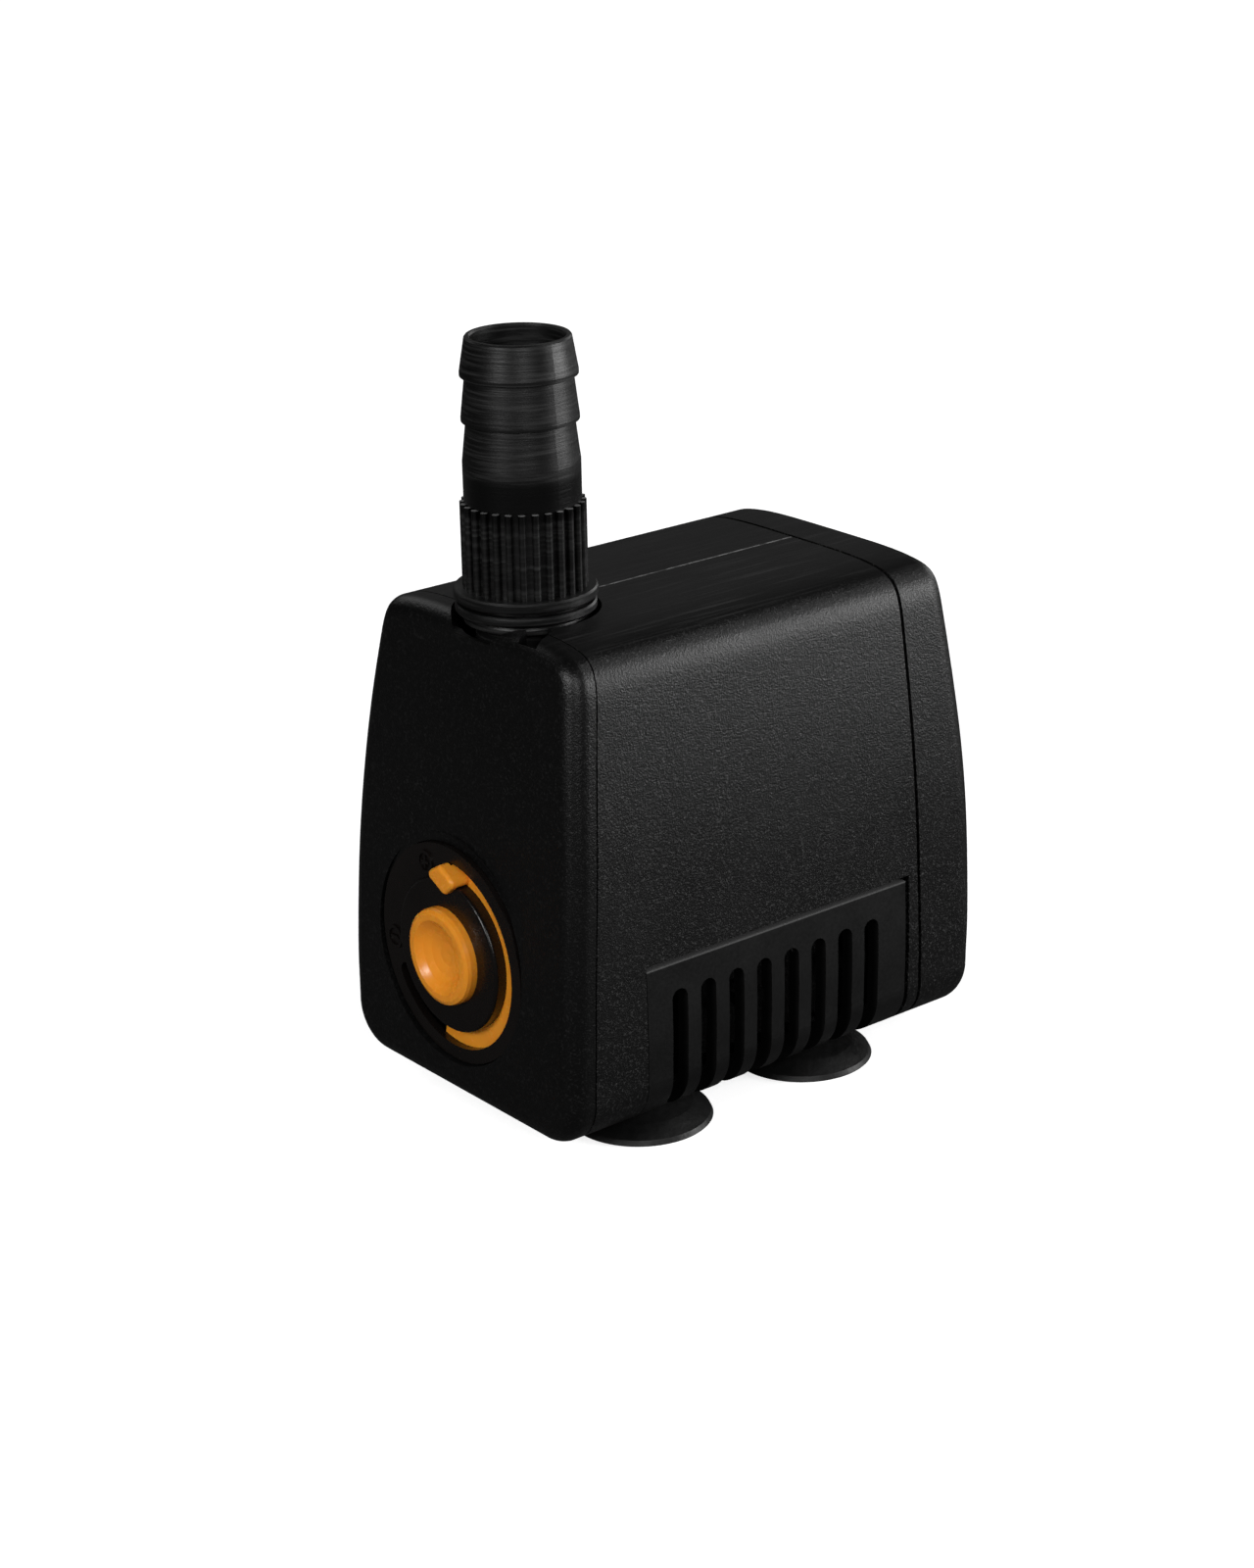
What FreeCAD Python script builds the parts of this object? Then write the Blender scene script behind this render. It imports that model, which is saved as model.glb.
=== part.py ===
import FreeCAD, Part
import math
import os

# Small submersible fountain pump with a screwed hose tail, a snap-on front
# cover carrying the flow regulator, a side strainer and a potted motor.
# Millimetres. Z up, front cover toward -Y, feet on Z = 0, X = 0 is the mid plane.

V = FreeCAD.Vector
UP = V(0, 0, 1)
BACK = V(0, 1, 0)

# ---- driving dimensions ----
totalHeight = 97.05
bottomRadius = 6.0
# half section of the body, from the middle of the top down to the bottom corner
sectionPoints = [(0, 64.1), (7, 64.08), (12, 63.9), (15, 63.55), (17.0, 63.0), (18.3, 62.0),
                 (19.15, 60.35), (19.75, 57.4), (20.6, 51.0), (21.6, 42.0), (22.25, 33.0),
                 (22.6, 22.0), (22.7, 14.0), (22.6, 9.4)]
cornerPoints = [(17.0, 63.0), (18.3, 62.0)]
# front and rear outline seen from the side, as (Y, Z)
frontPoints = [(-30.9, 68.0), (-31.5, 60.0), (-32.6, 52.0), (-33.7, 42.0), (-34.6, 32.0),
               (-35.25, 22.0), (-35.6, 12.0), (-35.75, -2.0)]
rearPoints = [(27.6, 68.0), (28.5, 59.0), (29.4, 50.0), (30.4, 39.0), (31.1, 24.0), (31.1, 10.0),
              (30.9, -2.0)]
frontEdgeRadius = 2.45
rearEdgeRadius = 3.2
coverDepth = 3.6
frontSeam = 0.2
rearSeamY = 20.75
rearSeamTilt = 1.2
rearSeam = 0.5
wall = 2.0
coverFront = 1.5

# regulator and rotor share one axis
axisX = -1.3
axisZ = 22.15
dialFace = -35.2
dialRadius = 14.0
reliefFloor = -34.5
plateBack = -34.2
islandFace = -35.8
islandRadius = 9.9
slotOuterRadius = 12.2
slotStart = 88.0
slotEnd = -150.0
hubRadius = 6.15
hubFace = -37.3
shutterEnd = -105.0
markRing = 11.65
markRadius = 1.5
# front outline of the finger tab from the shared axis, as (X, Z)
tabOutline = [(-2.75, 10.3), (0.3, 12.15), (3.5, 10.35), (1.1, 8.35)]
tabFace = -36.8

# outlet and hose tail, axis at X = 0
outletY = -23.0
topHoleRadius = 9.0
gripRadius = 6.8
noseHoleRadius = 7.75
spigotRadius = 6.1
socketRadius = 6.2
socketOuter = 7.2
socketTop = 56.0
spigotBottom = 49.0
threadPitch = 2.0

# intake strainer
strainerTop = 24.6
strainerFront = -23.9
strainerRear = 18.3
strainerThickness = 1.9
strainerGap = 0.65
slotCount = 8
slotPitch = 4.47
slotWidth = 2.4
slotFirstY = -18.9
slotTop = 20.7

# suction cups
cupX = 13.0
cupYs = (-17.6, 9.2)
cupRadius = 9.1

# motor
shaftRadius = 1.5
magnetRadius = 8.6
canRadius = 9.3
canWall = 1.0
bulkheadFront = -13.0
bulkheadRear = -11.0
canEnd = 12.6
coreFront = -6.0
coreRear = 10.0
resinBack = 24.8
gap = 0.05

# cable gland
glandZ = 44.0
cableRadius = 3.0


def cylinder(x, y, z, radius, length, axis):
    return Part.makeCylinder(radius, length, V(x, y, z), axis)


def axial(radius, yFrom, yTo):
    """Cylinder on the rotor axis between two Y stations."""
    return cylinder(axisX, yFrom, axisZ, radius, yTo - yFrom, BACK)


def upright(x, y, radius, zFrom, zTo):
    return cylinder(x, y, zFrom, radius, zTo - zFrom, UP)


def box(xFrom, xTo, yFrom, yTo, zFrom, zTo):
    return Part.makeBox(xTo - xFrom, yTo - yFrom, zTo - zFrom, V(xFrom, yFrom, zFrom))


def lathe(points, x, y, z, axis):
    """Revolves (radius, height) points about an axis through x, y, z."""
    side = V(1, 0, 0)
    base = V(x, y, z)
    vertices = [base + side * r + axis * h for r, h in points]
    wire = Part.makePolygon(vertices + [vertices[0]])
    return Part.Face(wire).revolve(base, axis, 360)


def insetPoints(inset):
    """Half-section points moved inward along their normals."""
    moved = []
    # the two corner points would cross over when moved in further than the corner's own radius
    outline = [p for p in sectionPoints if inset < 2.5 or p not in cornerPoints]
    last = len(outline) - 1
    for i, (x, z) in enumerate(outline):
        before = outline[max(i - 1, 0)]
        after = outline[min(i + 1, last)]
        dx, dz = after[0] - before[0], after[1] - before[1]
        if i == 0:
            dx, dz = 1, 0
        if i == last:
            dx, dz = 0, -1
        length = math.hypot(dx, dz)
        moved.append((x + dz / length * inset, z - dx / length * inset))
    return moved


def sectionPrism(inset, yFrom, yTo):
    """Body section moved inward by inset and extruded between two Y stations."""
    points = [V(x, yFrom, z) for x, z in insetPoints(inset)]
    curve = Part.BSplineCurve()
    curve.interpolate(Points=points, InitialTangent=V(1, 0, 0), FinalTangent=V(0, 0, -1))
    side = curve.toShape()
    end = points[-1]
    radius = bottomRadius - inset
    centreX = end.x - radius
    middle = V(centreX + radius * math.cos(math.pi / 4), yFrom, end.z - radius * math.sin(math.pi / 4))
    corner = Part.Arc(end, middle, V(centreX, yFrom, end.z - radius)).toShape()
    half = [side, corner]
    mirrored = [edge.mirror(V(0, 0, 0), V(1, 0, 0)) for edge in half]
    floor = Part.makeLine(V(centreX, yFrom, end.z - radius), V(-centreX, yFrom, end.z - radius))
    wire = Part.Wire(Part.__sortEdges__(half + mirrored + [floor]))
    return Part.Face(wire).extrude(V(0, yTo - yFrom, 0))


def profileCurve(points, shift):
    curve = Part.BSplineCurve()
    curve.interpolate([V(-40, y + shift, z) for y, z in points])
    return curve.toShape()


def frontSlab(shift):
    """Everything in front of the front outline moved back by shift."""
    curve = profileCurve(frontPoints, shift)
    top, bottom = frontPoints[0], frontPoints[-1]
    corners = [V(-40, bottom[0] + shift, bottom[1]), V(-40, -80, bottom[1]), V(-40, -80, top[1]),
               V(-40, top[0] + shift, top[1])]
    wire = Part.Wire(Part.__sortEdges__([curve] + Part.makePolygon(corners).Edges))
    return Part.Face(wire).extrude(V(80, 0, 0))


def rearSlab(shift):
    """Everything behind the rear outline moved back by shift."""
    curve = profileCurve(rearPoints, shift)
    top, bottom = rearPoints[0], rearPoints[-1]
    corners = [V(-40, bottom[0] + shift, bottom[1]), V(-40, 80, bottom[1]), V(-40, 80, top[1]),
               V(-40, top[0] + shift, top[1])]
    wire = Part.Wire(Part.__sortEdges__([curve] + Part.makePolygon(corners).Edges))
    return Part.Face(wire).extrude(V(80, 0, 0))


def outerBody():
    """Rounded outside of the whole pump body, before it is split at the seams."""
    solid = sectionPrism(0, -60, 60).cut(frontSlab(0)).cut(rearSlab(0))
    front = [e for e in solid.Edges if e.BoundBox.YMax < -25]
    solid = solid.makeFillet(frontEdgeRadius, front)
    rear = [e for e in solid.Edges if e.BoundBox.YMin > 22]
    return solid.makeFillet(rearEdgeRadius, rear)


def shell(inset, thickness, yFrom, yTo):
    """Ring of the body section between two insets."""
    return sectionPrism(inset, yFrom, yTo).cut(sectionPrism(inset + thickness, yFrom - 1, yTo + 1))


def frontRegion(shift):
    return frontSlab(coverDepth + shift)


def behindSeam(offset):
    """Everything behind the rear seam, which leans forward at the top."""
    block = box(-40, 40, rearSeamY + offset, 90, -10, 90)
    block.rotate(V(0, rearSeamY, 8), V(1, 0, 0), rearSeamTilt)
    return block


def sector(radius, yFrom, yTo, start, end):
    """Pie slice about the rotor axis; angles in degrees, anticlockwise seen from the front."""
    steps = max(2, int(abs(end - start) / 15))
    points = [V(axisX, yFrom, axisZ)]
    for i in range(steps + 1):
        angle = math.radians(start + (end - start) * i / steps)
        points.append(V(axisX + 2 * radius * math.cos(angle), yFrom, axisZ + 2 * radius * math.sin(angle)))
    pie = Part.Face(Part.makePolygon(points + [points[0]])).extrude(V(0, yTo - yFrom, 0))
    return pie.common(axial(radius, yFrom, yTo))


def polar(radius, degrees):
    angle = math.radians(degrees)
    return axisX + radius * math.cos(angle), axisZ + radius * math.sin(angle)


def motorHousing(body):
    """Housing with the outlet hole, the front bay, the potted motor bay and the rotor can."""
    solid = body.cut(frontRegion(frontSeam / 2)).cut(behindSeam(0))
    lip = shell(wall + gap, 1.3, -45, bulkheadRear).common(frontRegion(4.0)).cut(frontRegion(-1.2))
    root = shell(wall - 0.2, 1.5, -45, bulkheadRear).common(frontRegion(4.0)).cut(frontRegion(0.3))
    lip = lip.fuse(root)
    frontBay = sectionPrism(wall, -60, bulkheadFront)
    frontBay = frontBay.cut(box(-40, 40, -60, 0, 62.0, 80))
    motorBay = sectionPrism(wall, bulkheadRear, 40).cut(box(-40, 40, -20, 45, -5, strainerTop + wall))
    motorBay = motorBay.fuse(box(-15.2, 15.2, bulkheadRear, 40, 9.0, 30.0))
    around = box(-40, 40, strainerFront - 0.1, strainerRear + strainerGap, -5, strainerTop + 0.25)
    around = around.cut(box(-16.9, 16.9, bulkheadFront, 40, 7.4, 40))
    solid = solid.cut(frontBay).cut(motorBay).cut(around)
    solid = solid.fuse(lip).cut(around.common(box(-40, 40, -60, 0, -5, strainerTop + 0.25)))
    solid = solid.cut(upright(0, outletY, topHoleRadius, 50, 80)).cut(pryNotch())
    can = axial(canRadius + canWall, bulkheadFront, canEnd)
    boss = axial(4.6, canEnd - 2.6, canEnd + 1.2)
    solid = solid.fuse(can).fuse(boss)
    solid = solid.cut(axial(canRadius, bulkheadFront - 1, canEnd - 1.6))
    solid = solid.cut(axial(3.2, canEnd - 4, canEnd - 0.2))
    solid = solid.cut(strainerLatches(0.15))
    return solid.removeSplitter()


def strainerLatches(clearance):
    """Two snap nibs on each side of the motor bay that hold the strainer."""
    nibs = None
    for side in (-1, 1):
        for y in (-6.0, 11.0):
            centre = side * 16.6
            nib = box(centre - 1.1 - clearance, centre + 1.1 + clearance, y - 2 - clearance,
                      y + 2 + clearance, 14.0 - clearance, 16.0 + clearance)
            nibs = nib if nibs is None else nibs.fuse(nib)
    return nibs


def pryNotch():
    """Finger-nail notch across the front seam, beside the hose tail."""
    corners = [V(6.0, -26.5, 61.4), V(8.4, -30.7, 61.4), V(11.6, -30.5, 61.4), V(9.4, -26.2, 61.4)]
    return Part.Face(Part.makePolygon(corners + [corners[0]])).extrude(V(0, 0, 20))


def frontCover(body):
    """Cap with the round seat for the dial and the notch under the hose tail."""
    solid = body.common(frontRegion(-frontSeam / 2))
    hollow = sectionPrism(wall, -60, 0).cut(frontSlab(coverFront))
    solid = solid.cut(hollow)
    relief = cylinder(axisX - 0.3, -40, axisZ + 0.2, dialRadius + 0.5, 40 + reliefFloor, BACK)
    solid = solid.cut(relief).cut(axial(dialRadius + 0.1, -40, -33.4))
    solid = solid.cut(axial(dialRadius - 1.0, -40, -25))
    ring = axial(dialRadius + 1.1, -34.5, -31.6).cut(axial(dialRadius + 0.1, -40, -33.4))
    ring = ring.cut(axial(dialRadius - 1.0, -40, -25))
    solid = solid.fuse(ring.common(sectionPrism(wall - 0.1, -60, 0)))
    notch = upright(0, outletY, noseHoleRadius, 60.2, 80).fuse(upright(0, outletY, topHoleRadius, 61.9, 80))
    return solid.cut(notch).cut(pryNotch()).removeSplitter()


def dialPlate():
    """Round black insert with the curved slot, the raised island and two setting marks."""
    plate = axial(dialRadius, dialFace, -33.4 - gap).cut(axial(dialRadius - 1.1, plateBack, -30))
    plate = plate.fuse(axial(islandRadius, islandFace, dialFace + 0.2))
    edge = [e for e in plate.Edges if abs(e.BoundBox.YMin - islandFace) < 1e-3 and e.BoundBox.YLength < 1e-3]
    plate = plate.makeFillet(0.4, edge)
    cutOut = sector(slotOuterRadius, -40, -30, slotEnd, slotStart).cut(axial(islandRadius, -41, -29))
    x, z = polar((slotOuterRadius + islandRadius) / 2, slotEnd)
    cutOut = cutOut.fuse(cylinder(x, -40, z, (slotOuterRadius - islandRadius) / 2, 10, BACK))
    plate = plate.cut(cutOut).cut(axial(hubRadius + 0.08, -40, -30))
    for angle, bars in ((112, (0, 90)), (-173, (0,))):
        x, z = polar(markRing, angle)
        mark = cylinder(x, dialFace - 0.25, z, markRadius, 0.5, BACK)
        mark = mark.cut(cylinder(x, -40, z, markRadius - 0.4, 10, BACK))
        for turn in bars:
            bar = box(x - 0.8, x + 0.8, dialFace - 0.25, dialFace + 0.25, z - 0.17, z + 0.17)
            bar.rotate(V(x, 0, z), BACK, turn)
            mark = mark.fuse(bar)
        plate = plate.fuse(mark)
    return plate.removeSplitter()


def flowRegulator():
    """Orange shutter with its dished hub and the finger tab that stands in the slot."""
    front, rear = plateBack + gap, -32.2
    disc = axial(islandRadius - 0.9, front, rear)
    blade = sector(dialRadius - 1.35, front, rear, shutterEnd, slotStart + 4)
    hub = lathe([(0, hubFace + 1.75), (1.5, hubFace + 1.65), (2.8, hubFace + 1.3), (3.8, hubFace + 0.75),
                 (4.35, hubFace + 0.3), (4.75, hubFace), (5.5, hubFace), (hubRadius - 0.15, hubFace + 0.25),
                 (hubRadius, hubFace + 0.7), (hubRadius, rear), (0, rear)], axisX, 0, axisZ, BACK)
    corners = [V(axisX + x, tabFace, axisZ + z) for x, z in tabOutline]
    tab = Part.Face(Part.makePolygon(corners + [corners[0]])).extrude(V(0, front + 0.2 - tabFace, 0))
    tab = tab.makeFillet(0.75, [e for e in tab.Edges if e.BoundBox.YLength > 1])
    tab = tab.makeFillet(0.55, [e for e in tab.Edges if e.BoundBox.YMax < tabFace + 0.01])
    tab = tab.cut(axial(islandRadius + 0.25, islandFace - gap, -30))
    tab = tab.cut(sector(dialRadius, dialFace - gap, -30, slotStart - 2, 150))
    return disc.fuse(blade).fuse(hub).fuse(tab).removeSplitter()


def chamberCover():
    """Lid of the pump chamber: inlet eye, three spokes and the front bush seat."""
    lid = axial(15.2, -29.6, -28.0).fuse(axial(12.9, -28.0, -27.0))
    lid = lid.cut(axial(5.6, -40, -20)).cut(axial(11.9, -28.0, -26))
    hub = axial(3.1, -30.2, -27.4)
    for angle in (90, 210, 330):
        x, z = polar(4.4, angle)
        spoke = box(x - 2.2, x + 2.2, -29.6, -28.4, z - 0.7, z + 0.7)
        spoke.rotate(V(x, 0, z), V(0, -1, 0), angle)
        hub = hub.fuse(spoke)
    return lid.fuse(hub).cut(axial(2.3, -29.4, -20)).removeSplitter()


def pumpChamber():
    """Volute ring with the rising outlet duct and the socket for the hose tail."""
    ring = axial(15.2, -28.0 + gap, bulkheadFront - gap)
    duct = upright(0, outletY, 5.4, axisZ + 11, 50).cut(box(-40, 40, -40, -28.0 + gap, 0, 38))
    socket = upright(0, outletY, socketOuter, 45.5, socketTop)
    collar = lathe([(0, 42.0), (5.4, 42.0), (socketOuter, 45.5), (0, 45.5)], 0, outletY, 0, UP)
    solid = ring.fuse(duct).fuse(collar).fuse(socket)
    solid = solid.cut(axial(13.0, -40, -15.2)).cut(axial(9.7, -20, 0))
    solid = solid.cut(upright(0, outletY, 4.2, axisZ + 5, 60))
    solid = solid.cut(upright(0, outletY, socketRadius, 48.5, 70))
    groove = axial(14.5, bulkheadFront - 1.1, bulkheadFront + 1).cut(axial(12.5, -20, 0))
    return solid.cut(groove).removeSplitter()


def torus(x, y, z, ringRadius, sectionRadius, axis):
    return Part.makeTorus(ringRadius, sectionRadius, V(x, y, z), axis)


def impeller():
    """Six straight blades on a hub and back plate, with the sleeve that carries the magnet."""
    solid = axial(3.4, -26.6, -16.6).fuse(axial(8.8, -17.8, -16.6)).fuse(axial(3.0, -16.6, 8.0))
    for i in range(6):
        blade = box(axisX + 2.5, axisX + 11.2, -26.2, -16.6, axisZ - 0.6, axisZ + 0.6)
        blade.rotate(V(axisX, 0, axisZ), V(0, 1, 0), 60 * i)
        solid = solid.fuse(blade)
    return solid.cut(axial(shaftRadius + 0.05, -40, 20)).removeSplitter()


def rotorMagnet():
    ring = axial(magnetRadius, -13.6, 7.8).cut(axial(3.0, -20, 20))
    widest = 2 * magnetRadius - 0.1
    edges = [e for e in ring.Edges if e.BoundBox.YLength < 1e-3 and e.BoundBox.XLength > widest]
    return ring.makeChamfer(0.5, edges)


def rotorShaft():
    shaft = axial(shaftRadius, -29.2, canEnd - 0.9)
    return shaft.makeChamfer(0.25, [e for e in shaft.Edges if e.BoundBox.YLength < 1e-3])


def shaftBush(radius, yFrom, yTo):
    return axial(radius, yFrom, yTo).cut(axial(shaftRadius, -29.3, canEnd - 0.8))


def statorCore():
    """Laminated U core: pole block around the can, two legs and the top yoke."""
    poles = box(axisX - 13.6, axisX + 13.6, coreFront, coreRear, 10.4, 34.0)
    poles = poles.cut(axial(canRadius + canWall + gap, -20, 20))
    poles = poles.cut(box(axisX - 0.9, axisX + 0.9, -20, 20, axisZ, 40))
    yoke = box(axisX - 12.0, axisX + 12.0, coreFront, coreRear, 51.0, 57.2)
    solid = poles.fuse(yoke)
    for side in (-1, 1):
        centre = axisX + side * 8.4
        solid = solid.fuse(box(centre - 3.6, centre + 3.6, coreFront, coreRear, 33.0, 52.0))
    for i in range(1, 8):
        y = coreFront + i * (coreRear - coreFront) / 8
        for z in (57.2, 10.4):
            solid = solid.cut(box(axisX - 20, axisX + 20, y - 0.06, y + 0.06, z - 0.15, z + 0.15))
    return solid.removeSplitter()


def legBox(side, grow, zFrom, zTo):
    centre = axisX + side * 8.4
    return box(centre - 3.6 - grow, centre + 3.6 + grow, coreFront - grow, coreRear + grow, zFrom, zTo)


def coilBobbins():
    """Two moulded bobbins, one on each leg of the core."""
    bobbins = []
    for side in (-1, 1):
        tube = legBox(side, 0.9, 34.2, 50.8)
        low = legBox(side, 4.0, 34.2, 35.2)
        high = legBox(side, 4.0, 49.8, 50.8)
        trim = box(axisX + 0.1, 40, -40, 40, 0, 80) if side > 0 else box(-40, axisX - 0.1, -40, 40, 0, 80)
        bobbin = tube.fuse(low).fuse(high).cut(legBox(side, gap, 30, 60))
        bobbins.append(bobbin.common(trim).removeSplitter())
    return Part.makeCompound(bobbins)


def coilWindings():
    coils = []
    for side in (-1, 1):
        coil = legBox(side, 3.6, 35.2 + gap, 49.8 - gap)
        coil = coil.makeFillet(1.6, [e for e in coil.Edges if e.BoundBox.ZLength > 5])
        coils.append(coil.cut(legBox(side, 0.9 + gap, 30, 60)))
    return Part.makeCompound(coils)


def pottingResin(parts):
    """Sealing resin that fills the motor bay around the core and the coils."""
    fill = sectionPrism(wall + gap, bulkheadRear + gap, 16.0)
    fill = fill.cut(box(-40, 40, -20, 45, -5, strainerTop + wall + gap))
    fill = fill.fuse(box(-15.2 + gap, 15.2 - gap, bulkheadRear + gap, 16.0, 9.0 + gap, 30.0))
    fill = fill.cut(axial(canRadius + canWall + gap, -20, canEnd + gap)).cut(axial(4.65, 0, canEnd + 1.25))
    back = sectionPrism(wall + 1.9, 15.5, resinBack).cut(box(-40, 40, 0, 60, -5, strainerTop + wall + 2))
    fill = fill.fuse(back).fuse(box(-13.4, 13.4, 15.5, resinBack, 10.8, 30))
    for piece in parts:
        fill = fill.cut(piece)
    return max(fill.Solids, key=lambda s: s.Volume)


def intakeStrainer():
    """U-shaped strainer under the motor bay with upright slots in both sides."""
    solid = shell(0, strainerThickness, strainerFront, strainerRear)
    solid = solid.cut(box(-40, 40, -60, 60, strainerTop - 0.35, 80))
    for i in range(slotCount):
        y = slotFirstY + slotPitch * i
        for side in (-1, 1):
            low, high = (15.7, 30) if side > 0 else (-30, -15.7)
            slot = box(low, high, y - slotWidth / 2, y + slotWidth / 2, 0, slotTop - slotWidth / 2)
            cap = cylinder(low, y, slotTop - slotWidth / 2, slotWidth / 2, high - low, V(1, 0, 0))
            solid = solid.cut(slot).cut(cap)
    for side in (-1, 1):
        for y in (-6.0, 11.0):
            inner = side * 21.2
            arm = box(min(side * 16.75, inner), max(side * 16.75, inner), y - 1.8, y + 1.8, 14.2, 15.8)
            solid = solid.fuse(arm)
    for x, y in cupPlaces():
        solid = solid.cut(upright(x, y, 2.25, 0, 8))
    return solid.removeSplitter()


def cupPlaces():
    return [(side * cupX, y) for y in cupYs for side in (-1, 1)]


def suctionCup(x, y):
    """Rubber cup with a flared lip and a button that snaps into the strainer floor."""
    outline = [(0, 1.9), (3.2, 1.75), (6.2, 1.1), (8.2, 0.3), (8.45, 0), (8.95, 0), (cupRadius, 0.15),
               (8.8, 0.75),
               (6.6, 1.9), (4.2, 2.75), (3.4, 3.35), (2.2, 3.35), (2.2, 5.35), (3.1, 5.45), (3.0, 6.2),
               (1.8, 6.9), (0, 6.9)]
    return lathe(outline, x, y, 0, UP)


def rearCover(body):
    """Rear cap with a locating rim and the hole for the cable gland."""
    solid = body.common(behindSeam(rearSeam))
    solid = solid.cut(sectionPrism(wall, 0, 60).cut(rearSlab(-2.2)))
    inner = sectionPrism(wall + 0.1, 16.6, rearSeamY + 3)
    rim = inner.cut(sectionPrism(wall + 1.7, 10, 40)).cut(box(-40, 40, 0, 60, -5, strainerTop + wall + 0.1))
    low = box(-15.1, 15.1, 16.6, rearSeamY + 3, 9.1, 27.0).cut(box(-13.6, 13.6, 10, 40, 10.6, 40))
    low = low.cut(box(-40, 40, 0, 60, strainerTop + wall + 0.2, 80))
    skirt = shell(wall - 0.3, 1.6, 15, rearSeamY + 3).common(behindSeam(0.06))
    solid = solid.fuse(rim).fuse(skirt)
    sill = box(-15.1, 15.1, 15, rearSeamY + 2, 5.0, 10.6).common(behindSeam(0.06))
    solid = solid.fuse(sill.cut(box(-9, 9, 10, 30, 0, 9.1)))
    solid = solid.fuse(low)
    return solid.cut(cylinder(0, 10, glandZ, 4.6, 40, BACK)).removeSplitter()


def cableGland():
    """Moulded grommet in the rear cover; its bore takes the supply cord."""
    outline = [(cableRadius, 25.0), (6.0, 25.0), (6.0, 27.1), (4.5, 27.1), (4.5, 30.6), (5.4, 30.6),
               (5.2, 32.2), (4.7, 37.3), (cableRadius, 37.3)]
    return lathe(outline, 0, 0, glandZ, BACK)


def hoseTail():
    """Stepped barbed tail with its ribbed grip, collar rings and screw spigot."""
    outer = [(4.5, spigotBottom), (5.6, spigotBottom), (spigotRadius, spigotBottom + 0.5)]
    outer += [(spigotRadius, 50.2), (5.1, 50.2), (5.1, 51.4), (spigotRadius, 51.4), (spigotRadius, 52.0)]
    z = 52.0
    for i in range(2):
        outer += [(5.7, z + 0.4), (5.7, z + 1.0), (spigotRadius, z + 1.4), (spigotRadius, z + threadPitch)]
        z += threadPitch
    outer += [(spigotRadius, 62.2), (7.5, 62.9), (7.5, 63.4), (7.35, 63.7), (7.35, 64.1), (8.3, 64.1),
              (8.49, 64.35), (8.49, 64.95), (8.3, 65.2), (7.5, 65.25), (7.5, 65.65), (8.45, 65.7),
              (8.63, 65.95), (8.63, 66.75), (8.45, 67.0), (gripRadius, 67.0), (gripRadius, 77.4),
              (7.0, 77.5), (7.0, 82.2), (6.45, 86.9), (6.45, 87.05), (6.98, 87.1), (6.98, 87.5),
              (6.42, 92.2), (6.42, 92.35), (6.98, 92.45), (6.98, 92.9), (6.31, 96.85), (6.15, totalHeight),
              (5.75, totalHeight), (5.6, 96.8), (5.6, 80.0), (4.5, 66.0)]
    solid = lathe(outer, 0, outletY, 0, UP)
    ribs = []
    for i in range(28):
        angle = 2 * math.pi * i / 28
        rib = upright(gripRadius + 0.28, outletY, 0.42, 66.9, 77.3)
        rib.rotate(V(0, outletY, 0), UP, math.degrees(angle))
        ribs.append(rib)
    return solid.fuse(ribs).removeSplitter()


def build():
    body = outerBody()
    core = statorCore()
    bobbins = coilBobbins()
    windings = coilWindings()
    nodes = {
        "motor_housing": motorHousing(body),
        "front_cover": frontCover(body),
        "rear_cover": rearCover(body),
        "intake_strainer": intakeStrainer(),
        "dial_plate": dialPlate(),
        "flow_regulator": flowRegulator(),
        "chamber_cover": chamberCover(),
        "pump_chamber": pumpChamber(),
        "chamber_o_ring": torus(axisX, bulkheadFront - 0.56, axisZ, 13.5, 0.5, BACK),
        "impeller": impeller(),
        "rotor_magnet": rotorMagnet(),
        "rotor_shaft": rotorShaft(),
        "front_bush": shaftBush(2.25, -29.35, -27.4),
        "rear_bush": shaftBush(3.15, canEnd - 3.6, canEnd - 0.25),
        "stator_core": core,
        "coil_bobbins": bobbins,
        "coil_windings": windings,
        "potting_resin": pottingResin([core, bobbins, windings]),
        "cable_gland": cableGland(),
        "hose_tail": hoseTail(),
        "tail_o_ring": torus(0, outletY, 50.8, 5.65, 0.5, UP),
    }
    names = ("front_left", "front_right", "rear_left", "rear_right")
    for name, (x, y) in zip(names, cupPlaces()):
        nodes["suction_cup_" + name] = suctionCup(x, y)
    return nodes


os.makedirs("parts", exist_ok=True)
for nodeName, nodeShape in build().items():
    nodeShape.exportStep("parts/" + nodeName + ".step")
    extent = nodeShape.BoundBox
    print("%-24s %s solids=%d vol=%.1f  x %.2f..%.2f y %.2f..%.2f z %.2f..%.2f" % (
        nodeName, nodeShape.isValid(), len(nodeShape.Solids), nodeShape.Volume, extent.XMin, extent.XMax,
        extent.YMin, extent.YMax, extent.ZMin, extent.ZMax))
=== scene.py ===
import math
import bpy
from mathutils import Matrix, Vector


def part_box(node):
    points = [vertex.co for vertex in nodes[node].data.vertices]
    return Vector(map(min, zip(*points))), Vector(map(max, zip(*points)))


# small submersible fountain pump: metres, Z up, front cover toward -Y
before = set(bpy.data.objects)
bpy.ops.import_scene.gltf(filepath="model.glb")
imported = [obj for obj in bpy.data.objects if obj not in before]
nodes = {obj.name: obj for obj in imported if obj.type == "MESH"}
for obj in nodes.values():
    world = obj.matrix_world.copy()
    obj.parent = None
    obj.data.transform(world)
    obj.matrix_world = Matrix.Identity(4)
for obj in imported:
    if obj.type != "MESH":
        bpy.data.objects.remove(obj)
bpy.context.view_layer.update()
print("frame loaded:", len(nodes), "nodes")

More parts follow.
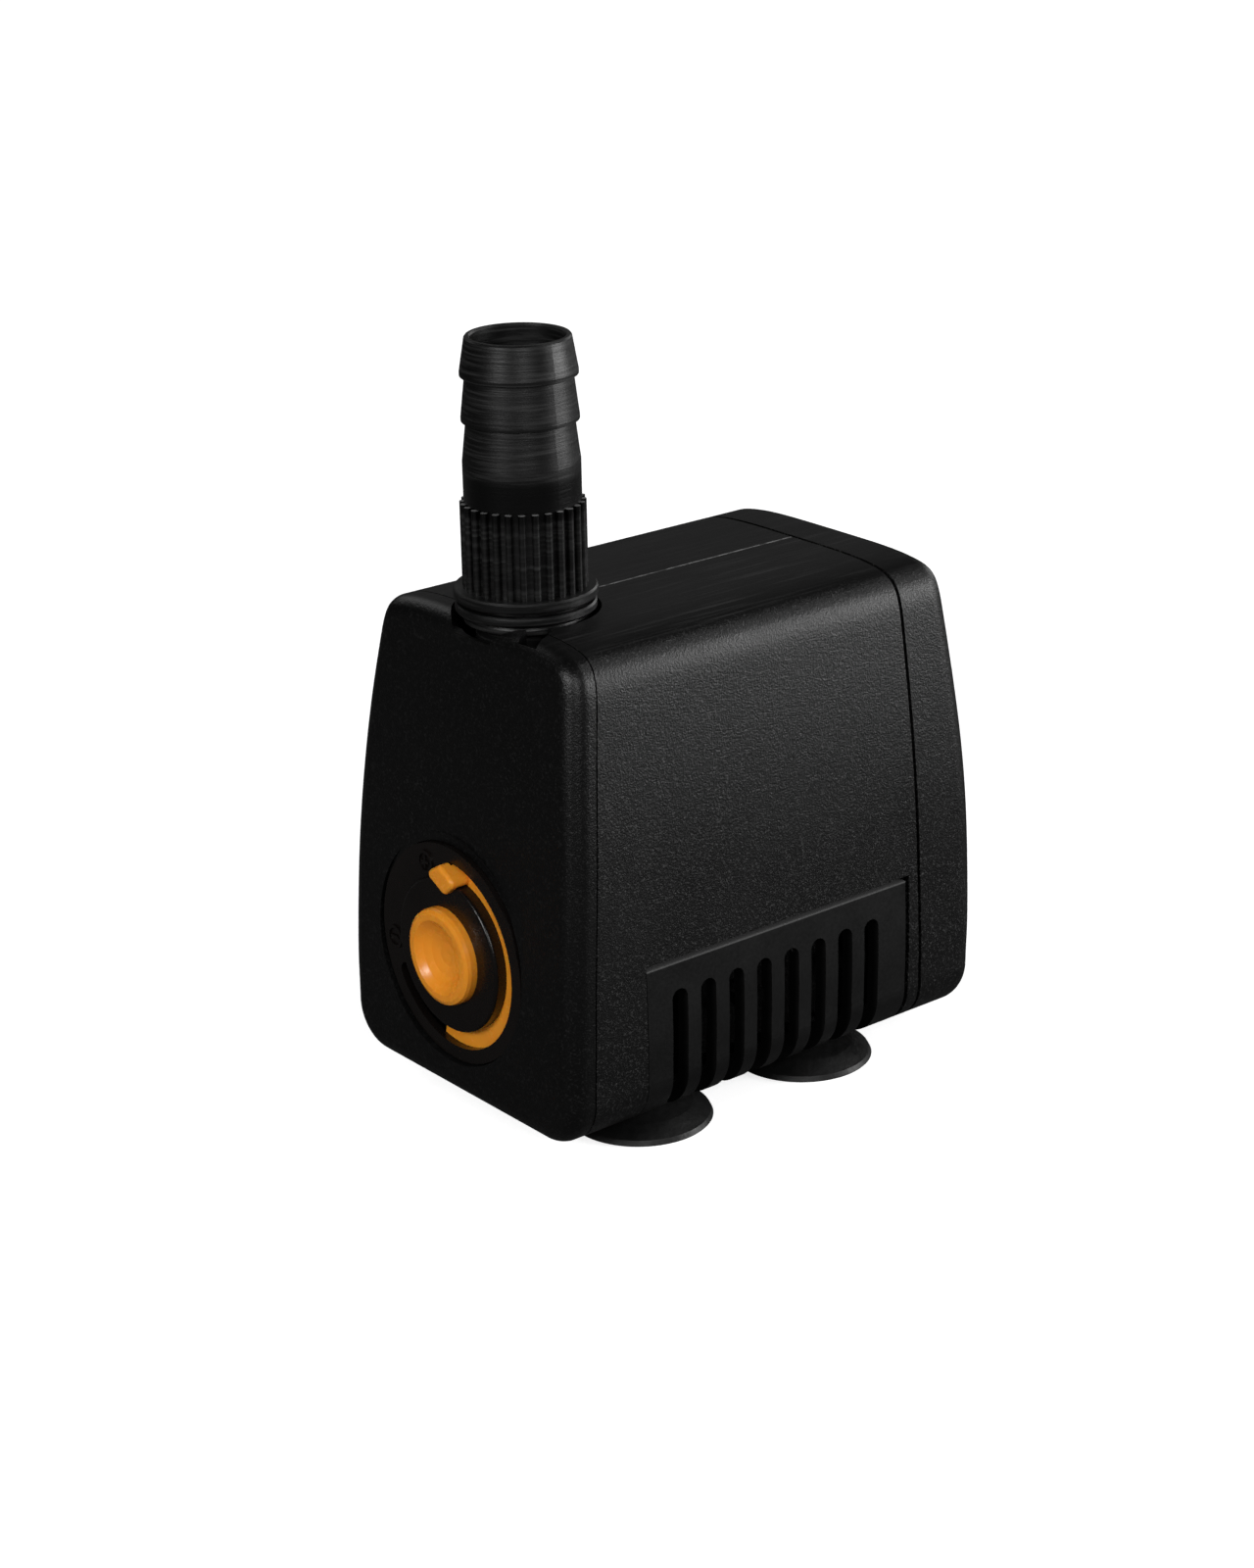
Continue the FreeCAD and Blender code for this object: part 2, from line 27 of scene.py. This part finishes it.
cameraView = {
    "azimuth": 51.21,                      # degrees, 0 looks along +Y
    "elevation": 20.81,
    "roll": -1.18,
    "place": (0.29373, -0.24426, 0.18093),
    "lens": 74.3,                          # millimetres, on a sensor this wide
    "sensor": 36,
    "nearClip": 0.01,
}


# unit vector from the object toward a viewer or a lamp
def outward(azimuth, elevation):
    az, el = math.radians(azimuth), math.radians(elevation)
    return Vector((math.sin(az) * math.cos(el), -math.cos(az) * math.cos(el), math.sin(el)))


def addCamera(view):
    az, roll = math.radians(view["azimuth"]), math.radians(view["roll"])
    back = outward(view["azimuth"], view["elevation"])
    level = Vector((math.cos(az), math.sin(az), 0))
    upright = level.cross(-back)
    right = level * math.cos(roll) + upright * math.sin(roll)
    up = upright * math.cos(roll) - level * math.sin(roll)
    data = bpy.data.cameras.new("camera")
    data.lens = view["lens"]
    data.sensor_width = view["sensor"]
    data.clip_start = view["nearClip"]
    camera = bpy.data.objects.new("camera", data)
    turn = Matrix((right, up, back)).transposed().to_4x4()
    camera.matrix_world = Matrix.Translation(view["place"]) @ turn
    bpy.context.collection.objects.link(camera)
    bpy.context.scene.camera = camera


addCamera(cameraView)
print("camera placed")


# from here to useGroup: small helpers for wiring shader nodes
def addNode(tree, kind, **settings):
    node = tree.nodes.new(kind)
    for key, value in settings.items():
        setattr(node, key, value)
    return node


def feed(tree, socket, value):
    if isinstance(value, bpy.types.NodeSocket):
        tree.links.new(value, socket)
    elif isinstance(value, tuple) and len(value) == 3 and len(socket.default_value) == 4:
        socket.default_value = value + (1,)
    else:
        socket.default_value = value


def calc(tree, operation, *values, clamp=False):
    node = addNode(tree, "ShaderNodeMath", operation=operation, use_clamp=clamp)
    for socket, value in zip(node.inputs, values):
        feed(tree, socket, value)
    return node.outputs[0]


def ramp(tree, value, low, high, toLow=0.0, toHigh=1.0):
    node = addNode(tree, "ShaderNodeMapRange", clamp=True)
    for label, number in (("Value", value), ("From Min", low), ("From Max", high),
                          ("To Min", toLow), ("To Max", toHigh)):
        feed(tree, node.inputs[label], number)
    return node.outputs["Result"]


# socket numbers of the Mix node for each kind: the two inputs, then the output
mixSockets = {"FLOAT": (2, 3, 0), "VECTOR": (4, 5, 1), "RGBA": (6, 7, 2)}


def mix(tree, kind, factor, first, second):
    node = addNode(tree, "ShaderNodeMix", data_type=kind)
    low, high, result = mixSockets[kind]
    for socket, value in zip((node.inputs["Factor"], node.inputs[low], node.inputs[high]),
                             (factor, first, second)):
        feed(tree, socket, value)
    return node.outputs[result]


def mixColor(tree, factor, first, second):
    return mix(tree, "RGBA", factor, first, second)


def noise(tree, vector, scale, detail=2.0, roughness=0.5):
    node = addNode(tree, "ShaderNodeTexNoise")
    for label, value in (("Vector", vector), ("Scale", scale), ("Detail", detail), ("Roughness", roughness)):
        feed(tree, node.inputs[label], value)
    return node.outputs["Fac"]


def place(tree, stretch=(1, 1, 1)):
    coords = addNode(tree, "ShaderNodeTexCoord")
    mapping = addNode(tree, "ShaderNodeMapping")
    mapping.inputs["Scale"].default_value = stretch
    tree.links.new(coords.outputs["Object"], mapping.inputs["Vector"])
    return mapping.outputs["Vector"]


def axesOf(tree, output="Object"):
    coords = addNode(tree, "ShaderNodeTexCoord")
    parts = addNode(tree, "ShaderNodeSeparateXYZ")
    tree.links.new(coords.outputs[output], parts.inputs[0])
    return parts.outputs


def bump(tree, height, strength, distance):
    node = addNode(tree, "ShaderNodeBump")
    node.inputs["Distance"].default_value = distance
    feed(tree, node.inputs["Strength"], strength)
    tree.links.new(height, node.inputs["Height"])
    return node.outputs["Normal"]


def newMaterial(name, **sockets):
    material = bpy.data.materials.new(name)
    material.use_nodes = True
    tree = material.node_tree
    tree.nodes.clear()
    output = addNode(tree, "ShaderNodeOutputMaterial")
    shader = addNode(tree, "ShaderNodeBsdfPrincipled")
    tree.links.new(shader.outputs["BSDF"], output.inputs["Surface"])
    for label, value in sockets.items():
        feed(tree, shader.inputs[label.replace("_", " ")], value)
    return material, tree, shader


def makeGroup(name, inputs, outputs):
    group = bpy.data.node_groups.new(name, "ShaderNodeTree")
    for label, kind, default in inputs:
        socket = group.interface.new_socket(label, in_out="INPUT", socket_type="NodeSocket" + kind)
        socket.default_value = default
    for label, kind in outputs:
        group.interface.new_socket(label, in_out="OUTPUT", socket_type="NodeSocket" + kind)
    return group, group.nodes.new("NodeGroupInput").outputs, group.nodes.new("NodeGroupOutput").inputs


def useGroup(tree, group, values):
    node = addNode(tree, "ShaderNodeGroup", node_tree=group)
    for label, value in values.items():
        feed(tree, node.inputs[label], value)
    return node.outputs


# matt grain of the moulded shells
sparkGrainStyle = {
    "fineScale": 4200.0,                   # grains to a metre
    "coarseScale": 2000.0,
    "cloudScale": 70.0,                    # slow drift of shade and gloss
    "speckFrom": 0.54,                     # grain height where a light speck begins
    "speckTo": 0.65,
    "cloudColor": (0.002, 0.002, 0.002),
    "height": 0.00018,
}


def buildSparkGrain(style):
    group, given, out = makeGroup(
        "sparkGrain",
        [("Color", "Color", (0.006, 0.006, 0.006, 1)), ("Speck", "Color", (0.03, 0.03, 0.03, 1)),
         ("Roughness", "Float", 0.5), ("Depth", "Float", 0.5)],
        [("Color", "Color"), ("Roughness", "Float"), ("Normal", "Vector")])
    here = place(group)
    fine = noise(group, here, style["fineScale"], roughness=0.6)
    coarse = noise(group, here, style["coarseScale"])
    cloud = noise(group, here, style["cloudScale"], detail=3.0, roughness=0.55)
    grain = calc(group, "ADD", calc(group, "MULTIPLY", fine, 0.65), calc(group, "MULTIPLY", coarse, 0.35))
    specks = ramp(group, grain, style["speckFrom"], style["speckTo"])
    tint = mixColor(group, specks, given["Color"], given["Speck"])
    shade = mixColor(group, ramp(group, cloud, 0.35, 0.7, toHigh=0.35), tint, style["cloudColor"])
    group.links.new(shade, out["Color"])
    drift = calc(group, "MULTIPLY", calc(group, "SUBTRACT", cloud, 0.5), 0.16)
    group.links.new(calc(group, "ADD", given["Roughness"], drift), out["Roughness"])
    group.links.new(bump(group, grain, given["Depth"], style["height"]), out["Normal"])
    return group


# stray pale specks
dustStyle = {
    "cellsPerMetre": 420.0,                # each cell holds one speck or none
    "dotCore": 0.03,                       # parts of a cell
    "dotEdge": 0.1,
}


def buildDust(style):
    group, given, out = makeGroup(
        "dust", [("Amount", "Float", 0.5), ("Size", "Float", 1.0)], [("Mask", "Float")])
    cells = addNode(group, "ShaderNodeTexVoronoi", feature="F1")
    group.links.new(place(group), cells.inputs["Vector"])
    group.links.new(calc(group, "DIVIDE", style["cellsPerMetre"], given["Size"]), cells.inputs["Scale"])
    chance = addNode(group, "ShaderNodeSeparateColor")
    group.links.new(cells.outputs["Color"], chance.inputs[0])
    picked = calc(group, "GREATER_THAN", chance.outputs[0], calc(group, "SUBTRACT", 1.0, given["Amount"]))
    dot = ramp(group, cells.outputs["Distance"], style["dotCore"], style["dotEdge"], toLow=1.0, toHigh=0.0)
    group.links.new(calc(group, "MULTIPLY", picked, dot), out["Mask"])
    return group


def buildDrawLines():
    group, given, out = makeGroup(
        "drawLines",
        [("Vector", "Vector", (0, 0, 0)), ("Scale", "Float", 900.0), ("Contrast", "Float", 0.5)],
        [("Lines", "Float"), ("Patches", "Float")])
    lines = noise(group, given["Vector"], given["Scale"], detail=4.0, roughness=0.65)
    group.links.new(ramp(group, lines, 0.3, 0.7), out["Lines"])
    patches = noise(group, given["Vector"], calc(group, "MULTIPLY", given["Scale"], 0.12))
    spread = calc(group, "MULTIPLY", calc(group, "SUBTRACT", patches, 0.5), given["Contrast"])
    group.links.new(calc(group, "ADD", spread, 0.5, clamp=True), out["Patches"])
    return group


sparkGrain = buildSparkGrain(sparkGrainStyle)
dust = buildDust(dustStyle)
drawLines = buildDrawLines()
print("shared effects built")

housingFinish = {
    "color": (0.0022, 0.0022, 0.0022),
    "speck": (0.045, 0.045, 0.045),
    "roughness": 0.39,
    "depth": 0.55,
    "specular": 0.3,
    "topColor": (0.003, 0.003, 0.003),     # the top has fine draw lines along the body, not grain
    "topRoughness": 0.44,
    "topFrom": 0.82,                       # how far a face points up where the top's finish begins
    "topTo": 0.97,
    "lineStretch": (1, 0.03, 1),
    "lineScale": 1600.0,
    "lineStrength": 0.25,
    "lineHeight": 0.00003,
    "dustColor": (0.16, 0.16, 0.16),
    "dustAmount": 0.004,
    "dustSize": 0.6,
    "partingHighlight": (0.3, 0.3, 0.3),       # painted highlight: light line along the middle of the top, where the raised parting flash catches the light
    "partingPlace": -0.0002,
    "partingCore": 0.0001,
    "partingEdge": 0.00022,
    "partingBreaks": 700.0,                # scale of the gaps in it
}


def grainedBlack(name, style, partingLine):
    material, tree, shader = newMaterial(name, Specular_IOR_Level=style["specular"])
    grain = useGroup(tree, sparkGrain, {"Color": style["color"], "Speck": style["speck"],
                                        "Roughness": style["roughness"], "Depth": style["depth"]})
    along = place(tree, style["lineStretch"])
    lines = useGroup(tree, drawLines, {"Vector": along, "Scale": style["lineScale"]})
    top = ramp(tree, axesOf(tree, "Normal")["Z"], style["topFrom"], style["topTo"])
    streaks = ramp(tree, lines["Lines"], 0.55, 1.0, toHigh=0.5)
    streaked = mixColor(tree, streaks, style["topColor"], style["speck"])
    color = mixColor(tree, top, grain["Color"], streaked)
    specks = useGroup(tree, dust, {"Amount": style["dustAmount"], "Size": style["dustSize"]})["Mask"]
    color = mixColor(tree, calc(tree, "MULTIPLY", specks, 0.5), color, style["dustColor"])
    topRough = calc(tree, "ADD", style["topRoughness"],
                    calc(tree, "MULTIPLY", calc(tree, "SUBTRACT", lines["Lines"], 0.5), 0.1))
    rough = mix(tree, "FLOAT", top, grain["Roughness"], topRough)
    smooth = bump(tree, lines["Lines"], style["lineStrength"], style["lineHeight"])
    normal = mix(tree, "VECTOR", top, grain["Normal"], smooth)
    # painted highlight along the parting line on the top, broken into gaps
    if partingLine:
        away = calc(tree, "ABSOLUTE", calc(tree, "SUBTRACT", axesOf(tree)["X"], style["partingPlace"]))
        band = ramp(tree, away, style["partingCore"], style["partingEdge"], toLow=1.0, toHigh=0.0)
        line = calc(tree, "MULTIPLY", band, top)
        broken = ramp(tree, noise(tree, place(tree), style["partingBreaks"]), 0.38, 0.6, toLow=0.25)
        color = mixColor(tree, calc(tree, "MULTIPLY", line, broken), color, style["partingHighlight"])
    tree.links.new(color, shader.inputs["Base Color"])
    tree.links.new(rough, shader.inputs["Roughness"])
    tree.links.new(normal, shader.inputs["Normal"])
    return material


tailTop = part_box("hose_tail")[1][2]
tailFinish = {
    "color": (0.0022, 0.0022, 0.0022),
    "streak": (0.04, 0.04, 0.04),
    "roughness": 0.33,
    "specular": 0.34,
    "darkFrom": tailTop - 0.02055,         # smooth dark band between the ribs and the barbs
    "darkTo": tailTop - 0.01655,
    "fadeBelow": 0.0004,
    "fadeAbove": 0.0008,
    "darkRoughness": 0.2,
    "darkColor": (0.001, 0.001, 0.001),
    "ribTop": tailTop - 0.01955,
    "ribFade": 0.0004,
    "tipFrom": tailTop - 0.02505,          # painted highlight on the upward faces at the upper ends of the ribs
    "tipFade": 0.0005,
    "tipHighlight": (0.22, 0.22, 0.22),
    "lineStretch": (0.12, 0.12, 3.0),
    "lineScale": 900.0,
    "lineContrast": 1.2,
    "grainScale": 3200.0,
    "reliefStrength": 0.45,
    "reliefHeight": 0.00004,
    "dustColor": (0.2, 0.2, 0.2),
    "dustAmount": 0.05,
    "dustSize": 0.7,
}


def turnedBlack(name, style):
    material, tree, shader = newMaterial(name, Specular_IOR_Level=style["specular"])
    level = place(tree, style["lineStretch"])
    around = useGroup(tree, drawLines, {"Vector": level, "Scale": style["lineScale"],
                                        "Contrast": style["lineContrast"]})
    fine = noise(tree, place(tree), style["grainScale"], roughness=0.6)
    height = axesOf(tree)["Z"]
    ribs = ramp(tree, height, style["ribTop"], style["ribTop"] + style["ribFade"], toLow=1.0, toHigh=0.0)
    specks = useGroup(tree, dust, {"Amount": style["dustAmount"], "Size": style["dustSize"]})["Mask"]
    streaks = ramp(tree, around["Lines"], 0.45, 1.0, toHigh=0.6)
    color = mixColor(tree, streaks, style["color"], style["streak"])
    caught = calc(tree, "MULTIPLY", specks, ribs)
    color = mixColor(tree, calc(tree, "MULTIPLY", caught, 0.6), color, style["dustColor"])
    above = ramp(tree, height, style["darkTo"], style["darkTo"] + style["fadeAbove"])
    below = ramp(tree, height, style["darkFrom"] - style["fadeBelow"], style["darkFrom"],
                 toLow=1.0, toHigh=0.0)
    lit = calc(tree, "MAXIMUM", above, below)
    color = mixColor(tree, lit, style["darkColor"], color)
    # painted highlight: faces pointing up near the rib tops are lightened as if lit from above
    upward = ramp(tree, axesOf(tree, "Normal")["Z"], 0.6, 0.95)
    nearTop = ramp(tree, height, style["tipFrom"], style["tipFrom"] + style["tipFade"])
    litTips = calc(tree, "MULTIPLY", calc(tree, "MULTIPLY", upward, ribs), nearTop)
    color = mixColor(tree, calc(tree, "MULTIPLY", litTips, 0.8), color, style["tipHighlight"])
    tree.links.new(color, shader.inputs["Base Color"])
    gloss = ramp(tree, lit, 0.0, 1.0, style["darkRoughness"], style["roughness"])
    rough = calc(tree, "ADD", gloss, calc(tree, "MULTIPLY", around["Patches"], 0.14))
    tree.links.new(rough, shader.inputs["Roughness"])
    brushed = calc(tree, "MULTIPLY", around["Lines"], 0.7)
    relief = calc(tree, "ADD", brushed, calc(tree, "MULTIPLY", fine, 0.4))
    normal = bump(tree, relief, style["reliefStrength"], style["reliefHeight"])
    tree.links.new(normal, shader.inputs["Normal"])
    return material


# painted highlight: light line along a panel's top edge, where its top face would catch the light: how far
# it reaches down, where it is full, and its colour
edgeHighlight = {"reach": 0.00025, "full": 0.00012, "color": (0.11, 0.11, 0.11)}
broadScale = 150.0                         # slow drift of tone and gloss


def softMoulded(name, color, roughness, variation=0.15, scale=1500.0, depth=0.25, distance=0.00004,
                stretch=(1, 1, 1), topEdge=0.0, dustAmount=0.0, dustColor=(0.3, 0.3, 0.3), **sockets):
    material, tree, shader = newMaterial(name, **sockets)
    here = place(tree, stretch)
    fine = noise(tree, here, scale, detail=3.0, roughness=0.55)
    broad = noise(tree, place(tree), broadScale, detail=3.0, roughness=0.55)
    darker = tuple(c * (1 - variation) for c in color)
    lighter = tuple(min(1.0, c * (1 + variation)) for c in color)
    tone = mixColor(tree, ramp(tree, broad, 0.3, 0.7), darker, lighter)
    # paint the highlight along the top edge
    if topEdge:
        line = ramp(tree, axesOf(tree)["Z"], topEdge - edgeHighlight["reach"], topEdge - edgeHighlight["full"])
        tone = mixColor(tree, calc(tree, "MULTIPLY", line, 0.8), tone, edgeHighlight["color"])
    if dustAmount:
        specks = useGroup(tree, dust, {"Amount": dustAmount, "Size": 0.9})["Mask"]
        tone = mixColor(tree, calc(tree, "MULTIPLY", specks, 0.7), tone, dustColor)
    tree.links.new(tone, shader.inputs["Base Color"])
    rough = calc(tree, "ADD", calc(tree, "MULTIPLY", calc(tree, "SUBTRACT", fine, 0.5), 0.2), roughness)
    drift = calc(tree, "MULTIPLY", calc(tree, "SUBTRACT", broad, 0.5), 0.12)
    tree.links.new(calc(tree, "ADD", rough, drift), shader.inputs["Roughness"])
    tree.links.new(bump(tree, fine, depth, distance), shader.inputs["Normal"])
    return material


coverFinish = dict(housingFinish, speck=(0.014, 0.014, 0.014), roughness=0.34, depth=0.45)
finishes = {
    "motor_housing": grainedBlack("housingBlack", housingFinish, True),
    "front_cover": grainedBlack("coverBlack", coverFinish, False),
    "rear_cover": grainedBlack("rearCoverBlack", housingFinish, False),
    "intake_strainer": softMoulded(
        "strainerBlack", (0.003, 0.003, 0.003), roughness=0.4, variation=0.25, scale=2200.0, depth=0.3,
        topEdge=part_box("intake_strainer")[1][2], dustAmount=0.012, Specular_IOR_Level=0.35),
    "dial_plate": softMoulded(
        "dialBlack", (0.0046, 0.0034, 0.003), roughness=0.28, variation=0.2, scale=1800.0, depth=0.15,
        dustAmount=0.01, dustColor=(0.2, 0.2, 0.2), Specular_IOR_Level=0.35),
    "flow_regulator": softMoulded(
        "regulatorOrange", (0.92, 0.33, 0.026), roughness=0.26, variation=0.06, scale=900.0, depth=0.2,
        Subsurface_Weight=0.25, Subsurface_Radius=(0.0016, 0.0006, 0.0002), Subsurface_Scale=1.0,
        Specular_IOR_Level=0.5),
    "hose_tail": turnedBlack("tailBlack", tailFinish),
    "suction_cup_front_left": softMoulded(
        "cupRubber", (0.004, 0.004, 0.004), roughness=0.5, variation=0.7, scale=900.0, depth=0.9,
        distance=0.0001, dustAmount=0.01, Specular_IOR_Level=0.35),
    "cable_gland": softMoulded(
        "glandRubber", (0.01, 0.01, 0.01), roughness=0.52, variation=0.25, scale=1400.0, depth=0.5,
        Specular_IOR_Level=0.35),
    "pump_chamber": softMoulded(
        "innerBlack", (0.012, 0.012, 0.012), roughness=0.45, variation=0.2, scale=1400.0, depth=0.3),
    "impeller": softMoulded(
        "impellerWhite", (0.62, 0.6, 0.54), roughness=0.36, variation=0.05, scale=900.0, depth=0.2,
        Subsurface_Weight=0.1, Subsurface_Scale=0.001),
    "rotor_magnet": softMoulded(
        "ferriteGrey", (0.035, 0.035, 0.038), roughness=0.4, variation=0.3, scale=2500.0, depth=0.7),
    "rotor_shaft": softMoulded(
        "shaftSteel", (0.56, 0.56, 0.57), roughness=0.22, variation=0.05, scale=1200.0, depth=0.2,
        stretch=(1, 0.05, 1), Metallic=1.0),
    "stator_core": softMoulded(
        "coreSteel", (0.32, 0.32, 0.34), roughness=0.42, variation=0.2, scale=1500.0, depth=0.9,
        distance=0.00012, stretch=(0.05, 1.4, 0.05), Metallic=1.0),
    "coil_windings": softMoulded(
        "copperWire", (0.5, 0.17, 0.055), roughness=0.3, variation=0.2, scale=1600.0, depth=1.0,
        distance=0.0002, stretch=(0.03, 0.03, 1.5), Metallic=1.0),
    "coil_bobbins": softMoulded(
        "bobbinNylon", (0.68, 0.66, 0.6), roughness=0.5, variation=0.05, scale=900.0, depth=0.2),
    "potting_resin": softMoulded(
        "resinBlack", (0.012, 0.012, 0.014), roughness=0.2, variation=0.2, scale=120.0, depth=0.4,
        distance=0.0004),
}
# nodes that share another node's finish
sameFinish = {
    "suction_cup_front_right": "suction_cup_front_left",
    "suction_cup_rear_left": "suction_cup_front_left",
    "suction_cup_rear_right": "suction_cup_front_left",
    "chamber_cover": "pump_chamber",
    "chamber_o_ring": "cable_gland",
    "tail_o_ring": "cable_gland",
    "front_bush": "cable_gland",
    "rear_bush": "cable_gland",
}


def dressNodes():
    for name, piece in nodes.items():
        material = finishes[sameFinish.get(name, name)]
        if not piece.material_slots:
            piece.data.materials.append(material)
        for slot in piece.material_slots:
            slot.material = material


dressNodes()
print("finishes placed")

stageSet = {
    "floorSize": 8.0,
    "floorColor": (0.85, 0.85, 0.85),
    "floorBounce": (0.1, 0.1, 0.1),
    "floorGlow": 0.72,                     # keeps the floor pale to the eye under the low lights
    "glowReach": (0.25, 0.9),              # metres over which the floor fades into the white around it
    "worldColor": (1, 1, 1),
    "worldFill": (0.003, 0.003, 0.003),
}
lampSet = {
    # name: azimuth and elevation in degrees, distance, width and height in metres, power in watts
    "rightRearSoftbox": (140, 12, 0.9, 0.45, 0.3, 5.8),
    "rightFrontKey": (62, 26, 0.9, 0.3, 0.3, 2.3),
    "frontKey": (12, 26, 0.9, 0.3, 0.3, 4.0),
    "ridgeLight": (149, 47, 0.9, 0.3, 0.3, 0.8),
    "leftFill": (-90, 35, 1.0, 0.45, 0.45, 0.8),
    "rearFill": (190, 12, 1.2, 0.5, 0.4, 1.6),
    "topSheen": (-128, 22, 1.0, 0.45, 0.45, 0.1),
}
lampTarget = Vector((0, 0, 0.04))          # a little above the middle of the body


def addLamp(name, azimuth, elevation, distance, width, height, power):
    data = bpy.data.lights.new(name, "AREA")
    data.shape = "RECTANGLE"
    data.size = width
    data.size_y = height
    data.energy = power
    out = outward(azimuth, elevation)
    lamp = bpy.data.objects.new(name, data)
    lamp.location = lampTarget + out * distance
    lamp.rotation_euler = (-out).to_track_quat("-Z", "Y").to_euler()
    bpy.context.collection.objects.link(lamp)


def buildFloor(style):
    bpy.ops.mesh.primitive_plane_add(size=style["floorSize"])
    floor = bpy.context.object
    floor.name = "floor"
    material, tree, shader = newMaterial("floorPale", Roughness=0.9, Specular_IOR_Level=0.0)
    seen = addNode(tree, "ShaderNodeLightPath").outputs["Is Camera Ray"]
    tone = mixColor(tree, seen, style["floorBounce"], style["floorColor"])
    tree.links.new(tone, shader.inputs["Base Color"])
    feed(tree, shader.inputs["Emission Color"], (1, 1, 1))
    coords = addNode(tree, "ShaderNodeTexCoord").outputs["Object"]
    reach = addNode(tree, "ShaderNodeVectorMath", operation="LENGTH")
    tree.links.new(coords, reach.inputs[0])
    glow = ramp(tree, reach.outputs["Value"], *style["glowReach"], style["floorGlow"], 1.0)
    feed(tree, shader.inputs["Emission Strength"], calc(tree, "MULTIPLY", seen, glow))
    floor.data.materials.append(material)


def buildWorld(style):
    world = bpy.data.worlds.new("studio")
    bpy.context.scene.world = world
    world.use_nodes = True
    tree = world.node_tree
    seen = addNode(tree, "ShaderNodeLightPath").outputs["Is Camera Ray"]
    tone = mixColor(tree, seen, style["worldFill"], style["worldColor"])
    tree.links.new(tone, tree.nodes["Background"].inputs["Color"])


buildFloor(stageSet)
buildWorld(stageSet)
for lampName, lamp in lampSet.items():
    addLamp(lampName, *lamp)
bpy.context.scene.view_settings.view_transform = "Standard"
print("stage built")
